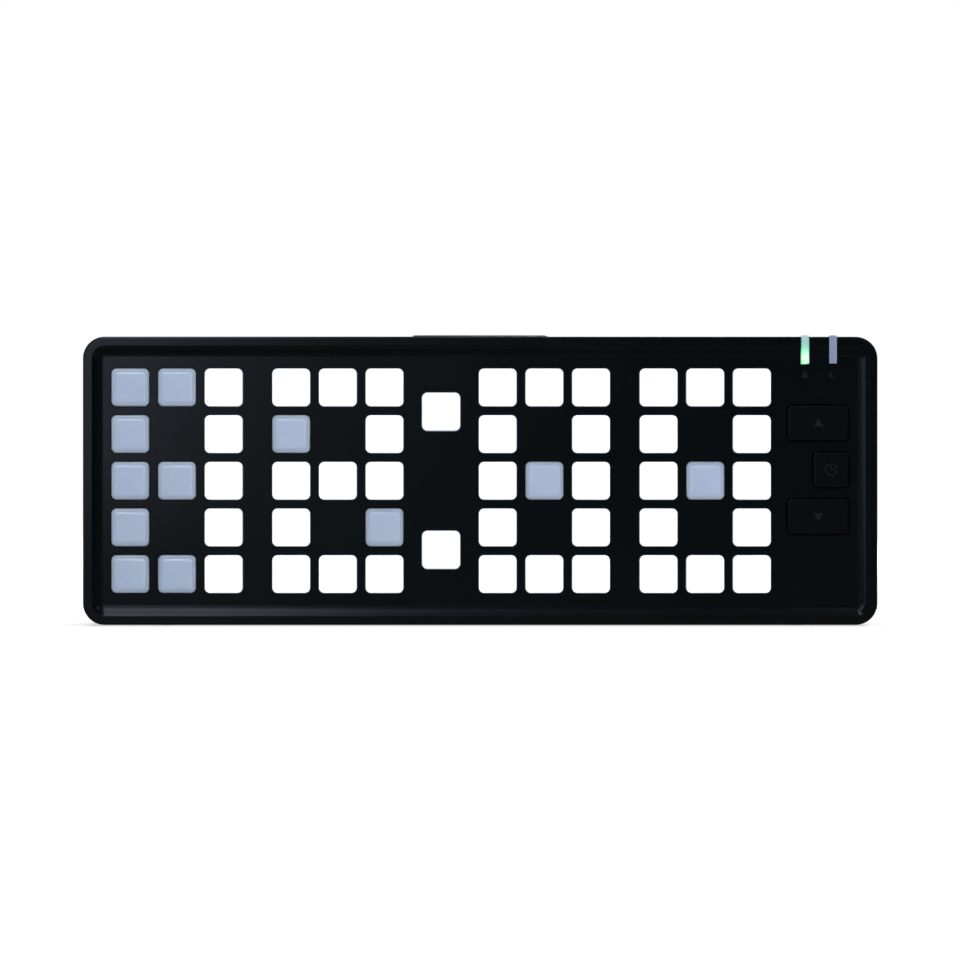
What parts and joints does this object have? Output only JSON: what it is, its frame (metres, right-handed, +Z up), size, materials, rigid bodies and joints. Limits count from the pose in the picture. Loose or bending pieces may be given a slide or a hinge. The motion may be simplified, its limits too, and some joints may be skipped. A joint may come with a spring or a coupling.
{
  "type": "digital alarm clock",
  "caption": "Desk alarm clock with raised square light keys for digits in a tray-shaped black front, side buttons, light pipes and a snooze bar on top.",
  "frame": {"origin": "on the table, at the centre of the clock's box", "axes": "+X to the right seen from the front, +Y from the display to the rear, +Z up"},
  "size_m": [0.2, 0.034, 0.0736],
  "materials": {
    "casing": "fine matte texture",
    "button": "fine matte texture",
    "key": "satin translucent white, bluish where unlit",
    "key_lit": "satin translucent white, lit from inside",
    "alarm_pipe": "clear, lit green from inside",
    "pm_pipe": "clear, unlit",
    "baffle": "matte white",
    "board": "green solder mask",
    "led": "pale yellow resin",
    "screw": "zinc plated",
    "rubber": "matte",
    "switch": "stamped",
    "plunger": "matte",
    "chip": "moulded resin",
    "bright_metal": "bright",
    "contact": "plated",
    "can": "shrink sleeve",
    "wire": "insulated",
    "speaker_metal": "satin",
    "speaker_paper": "matte"
  },
  "bodies": {
    "housing": {"front_housing": "casing", "rear_cover": "casing", "casing_screws": "screw", "rubber_feet": "rubber", "hour_tens_keys": "key", "hour_units_keys": "key", "colon_keys": "key_lit", "minute_tens_keys": "key", "minute_units_keys": "key", "light_baffle": "baffle", "display_board": "board", "display_leds": "led", "indicator_leds": "led", "board_screws": "screw", "alarm_light_pipe": "alarm_pipe", "pm_light_pipe": "pm_pipe", "button_switches": "switch", "snooze_switch": "switch", "controller_chip": "chip", "driver_chips": "chip", "clock_crystal": "bright_metal", "power_board": "board", "usb_socket": "bright_metal", "usb_tongue": "chip", "alarm_switch": "switch", "reservoir_capacitor": "can", "regulator_chip": "chip", "ribbon_cable": "wire", "ribbon_headers": "baffle", "speaker_frame": "speaker_metal", "speaker_cone": "speaker_paper", "speaker_magnet": "speaker_metal", "speaker_leads": "wire", "coin_cell": "bright_metal", "cell_contacts": "contact", "cell_leads": "wire"},
    "up": {"up_button": "button", "up_plunger": "plunger"},
    "set": {"set_button": "button", "set_plunger": "plunger"},
    "down": {"down_button": "button", "down_plunger": "plunger"},
    "snooze": {"snooze_button": "casing", "snooze_plunger": "plunger"},
    "alarm": {"alarm_slider": "button"},
    "door": {"coin_door": "casing"}
  },
  "joints": [
    {"name": "up_press", "type": "slide", "parent": "housing", "child": "up", "axis": [0, 1, 0], "range_m": [0, 0.0005], "stiffness_N_per_m": 800},
    {"name": "set_press", "type": "slide", "parent": "housing", "child": "set", "axis": [0, 1, 0], "range_m": [0, 0.0005], "stiffness_N_per_m": 800},
    {"name": "down_press", "type": "slide", "parent": "housing", "child": "down", "axis": [0, 1, 0], "range_m": [0, 0.0005], "stiffness_N_per_m": 800},
    {"name": "snooze_press", "type": "slide", "parent": "housing", "child": "snooze", "axis": [0, 0, -1], "range_m": [0, 0.0006], "stiffness_N_per_m": 800},
    {"name": "alarm_slide", "type": "slide", "parent": "housing", "child": "alarm", "axis": [1, 0, 0], "range_m": [0, 0.003]},
    {"name": "door_turn", "type": "hinge", "parent": "housing", "child": "door", "pos_m": [0.05, 0.0169, 0.0366], "axis": [0, 1, 0], "range_deg": [0, 40]}
  ]
}
